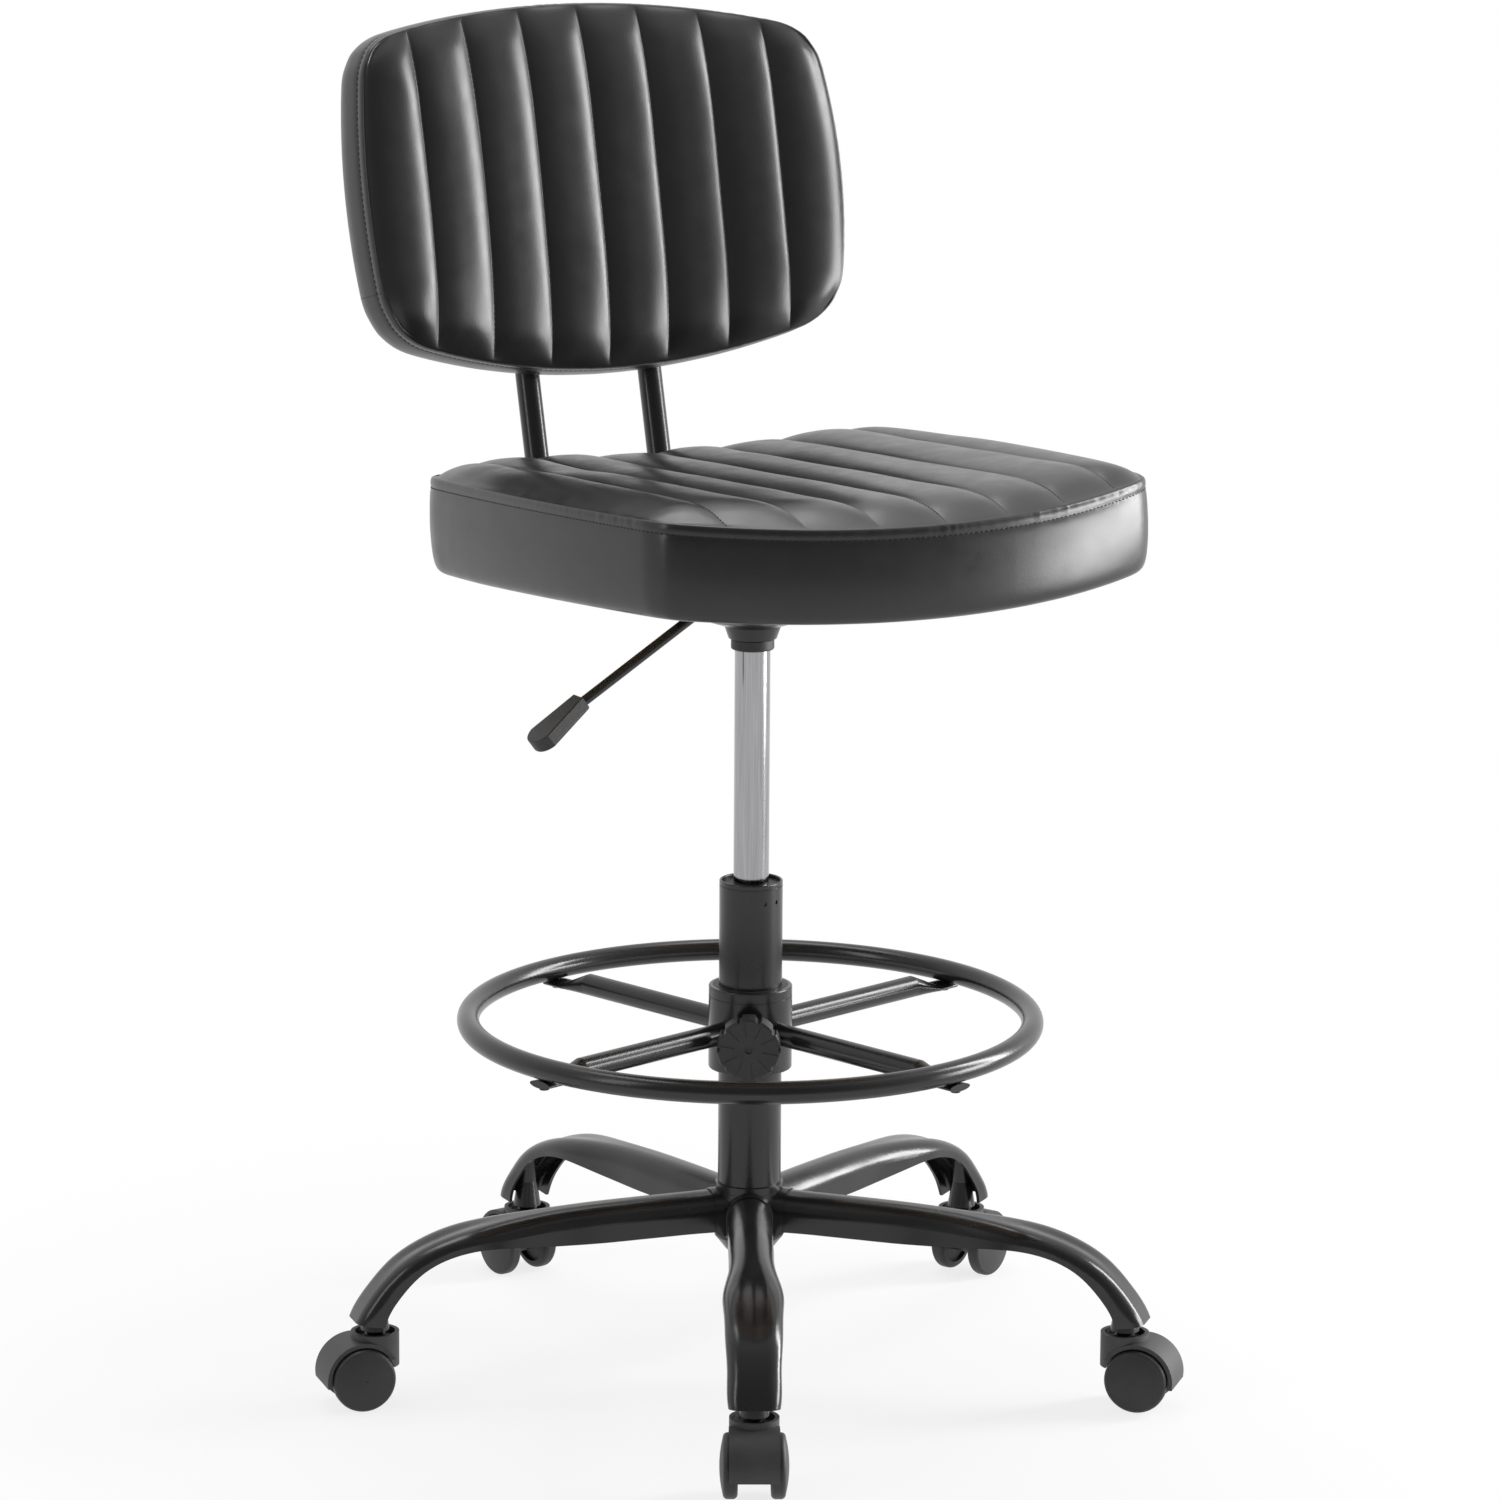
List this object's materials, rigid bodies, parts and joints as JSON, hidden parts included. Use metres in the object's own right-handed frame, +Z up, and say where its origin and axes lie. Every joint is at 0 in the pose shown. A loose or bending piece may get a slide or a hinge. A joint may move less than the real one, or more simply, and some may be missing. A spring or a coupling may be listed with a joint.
{
  "type": "drafting chair",
  "caption": "Armless swivel drafting chair with a thick padded seat, a curved padded back on bent tube posts, a height lever, a clamped foot ring and a star base on swivelling casters.",
  "frame": {"origin": "the floor straight under the axis of the column", "axes": "+Z up along the column, -Y to the front of the seat, so the sitter faces -Y and +X is the sitter's left"},
  "size_m": [0.6774, 0.6696, 1.06],
  "materials": {
    "black_leather": "satin grained cover",
    "black_paint": "smooth gloss powder coat",
    "black_steel": "black zinc",
    "bright_steel": "ground",
    "chrome": "polished",
    "black_plastic": "fine grained",
    "hood_plastic": "fine grained",
    "wheel_plastic": "satin",
    "buffer_rubber": "plain",
    "plywood": "raw plywood"
  },
  "bodies": {
    "base": {"base_hub": "black_paint", "arm_1": "black_paint", "arm_2": "black_paint", "arm_3": "black_paint", "arm_4": "black_paint", "arm_5": "black_paint", "arm_screws": "black_steel", "stem_sockets": "black_paint", "outer_tube": "black_paint", "guide_bush": "black_plastic", "caster_stems": "black_steel"},
    "caster_1": {"caster_hood_1": "hood_plastic", "caster_axle_1": "bright_steel"},
    "wheel_1_left": {"wheel_1_left": "wheel_plastic"},
    "wheel_1_right": {"wheel_1_right": "wheel_plastic"},
    "caster_2": {"caster_hood_2": "hood_plastic", "caster_axle_2": "bright_steel"},
    "wheel_2_left": {"wheel_2_left": "wheel_plastic"},
    "wheel_2_right": {"wheel_2_right": "wheel_plastic"},
    "caster_3": {"caster_hood_3": "hood_plastic", "caster_axle_3": "bright_steel"},
    "wheel_3_left": {"wheel_3_left": "wheel_plastic"},
    "wheel_3_right": {"wheel_3_right": "wheel_plastic"},
    "caster_4": {"caster_hood_4": "hood_plastic", "caster_axle_4": "bright_steel"},
    "wheel_4_left": {"wheel_4_left": "wheel_plastic"},
    "wheel_4_right": {"wheel_4_right": "wheel_plastic"},
    "caster_5": {"caster_hood_5": "hood_plastic", "caster_axle_5": "bright_steel"},
    "wheel_5_left": {"wheel_5_left": "wheel_plastic"},
    "wheel_5_right": {"wheel_5_right": "wheel_plastic"},
    "spindle": {"piston_rod": "bright_steel", "thrust_bearing": "bright_steel", "rubber_buffer": "buffer_rubber", "rod_clip": "bright_steel"},
    "seat": {"gas_cylinder": "chrome", "dust_ring": "black_plastic", "seat_mechanism": "black_paint", "seat_screws": "black_steel", "seat_board": "plywood", "seat_cushion": "black_leather", "post_left": "black_paint", "post_right": "black_paint", "post_bolts": "black_steel", "post_caps": "black_plastic", "back_panel": "black_plastic", "back_cushion": "black_leather", "lever_pin": "bright_steel"},
    "lever": {"lever_rod": "black_paint", "lever_handle": "black_plastic"},
    "valve": {"valve_button": "bright_steel"},
    "ring_slider": {"ring_bushes": "black_plastic"},
    "ring": {"ring_collar": "black_paint", "foot_ring": "black_paint", "ring_spokes": "black_paint", "spoke_screws": "black_steel"},
    "knob": {"lock_knob": "black_plastic", "knob_screw": "bright_steel"}
  },
  "joints": [
    {"name": "caster_swivel_1", "type": "hinge", "parent": "base", "child": "caster_1", "pos_m": [-0.15028, -0.27, 0.055], "axis": [0, 0, 1], "continuous": true},
    {"name": "wheel_roll_1_left", "type": "hinge", "parent": "caster_1", "child": "wheel_1_left", "pos_m": [-0.15709, -0.28223, 0.025], "axis": [0.8738, -0.4863, 0], "continuous": true},
    {"name": "wheel_roll_1_right", "type": "hinge", "parent": "caster_1", "child": "wheel_1_right", "pos_m": [-0.15709, -0.28223, 0.025], "axis": [0.8738, -0.4863, 0], "continuous": true},
    {"name": "caster_swivel_2", "type": "hinge", "parent": "base", "child": "caster_2", "pos_m": [0.21034, -0.22636, 0.055], "axis": [0, 0, 1], "continuous": true},
    {"name": "wheel_roll_2_left", "type": "hinge", "parent": "caster_2", "child": "wheel_2_left", "pos_m": [0.21987, -0.23661, 0.025], "axis": [0.7325, 0.6807, 0], "continuous": true},
    {"name": "wheel_roll_2_right", "type": "hinge", "parent": "caster_2", "child": "wheel_2_right", "pos_m": [0.21987, -0.23661, 0.025], "axis": [0.7325, 0.6807, 0], "continuous": true},
    {"name": "caster_swivel_3", "type": "hinge", "parent": "base", "child": "caster_3", "pos_m": [0.28028, 0.1301, 0.055], "axis": [0, 0, 1], "continuous": true},
    {"name": "wheel_roll_3_left", "type": "hinge", "parent": "caster_3", "child": "wheel_3_left", "pos_m": [0.29297, 0.136, 0.025], "axis": [-0.421, 0.907, 0], "continuous": true},
    {"name": "wheel_roll_3_right", "type": "hinge", "parent": "caster_3", "child": "wheel_3_right", "pos_m": [0.29297, 0.136, 0.025], "axis": [-0.421, 0.907, 0], "continuous": true},
    {"name": "caster_swivel_4", "type": "hinge", "parent": "base", "child": "caster_4", "pos_m": [-0.03712, 0.30676, 0.055], "axis": [0, 0, 1], "continuous": true},
    {"name": "wheel_roll_4_left", "type": "hinge", "parent": "caster_4", "child": "wheel_4_left", "pos_m": [-0.0388, 0.32066, 0.025], "axis": [-0.9928, -0.1201, 0], "continuous": true},
    {"name": "wheel_roll_4_right", "type": "hinge", "parent": "caster_4", "child": "wheel_4_right", "pos_m": [-0.0388, 0.32066, 0.025], "axis": [-0.9928, -0.1201, 0], "continuous": true},
    {"name": "caster_swivel_5", "type": "hinge", "parent": "base", "child": "caster_5", "pos_m": [-0.30322, 0.05949, 0.055], "axis": [0, 0, 1], "continuous": true},
    {"name": "wheel_roll_5_left", "type": "hinge", "parent": "caster_5", "child": "wheel_5_left", "pos_m": [-0.31696, 0.06218, 0.025], "axis": [-0.1925, -0.9813, 0], "continuous": true},
    {"name": "wheel_roll_5_right", "type": "hinge", "parent": "caster_5", "child": "wheel_5_right", "pos_m": [-0.31696, 0.06218, 0.025], "axis": [-0.1925, -0.9813, 0], "continuous": true},
    {"name": "seat_swivel", "type": "hinge", "parent": "base", "child": "spindle", "pos_m": [0, 0, 0.1], "axis": [0, 0, 1], "continuous": true},
    {"name": "seat_lift", "type": "slide", "parent": "spindle", "child": "seat", "axis": [0, 0, 1], "range_m": [-0.17, 0]},
    {"name": "lever_pull", "type": "hinge", "parent": "seat", "child": "lever", "pos_m": [-0.028, 0, 0.6305], "axis": [0, 1, 0], "range_deg": [0, 6], "stiffness_Nm_per_rad": 1},
    {"name": "valve_push", "type": "slide", "parent": "seat", "child": "valve", "axis": [0, 0, -1], "range_m": [0, 0.003], "stiffness_N_per_m": 1000},
    {"name": "ring_height", "type": "slide", "parent": "base", "child": "ring_slider", "axis": [0, 0, 1], "range_m": [-0.085, 0.08]},
    {"name": "ring_turn", "type": "hinge", "parent": "ring_slider", "child": "ring", "pos_m": [0, 0, 0.28], "axis": [0, 0, 1], "continuous": true},
    {"name": "knob_turn", "type": "hinge", "parent": "ring", "child": "knob", "pos_m": [0, 0, 0.2765], "axis": [-0.515, -0.8572, 0], "range_deg": [0, 720]}
  ],
  "couplings": [
    {"joint": "valve_push", "follows": "lever_pull", "m_per_rad": 0.028}
  ]
}
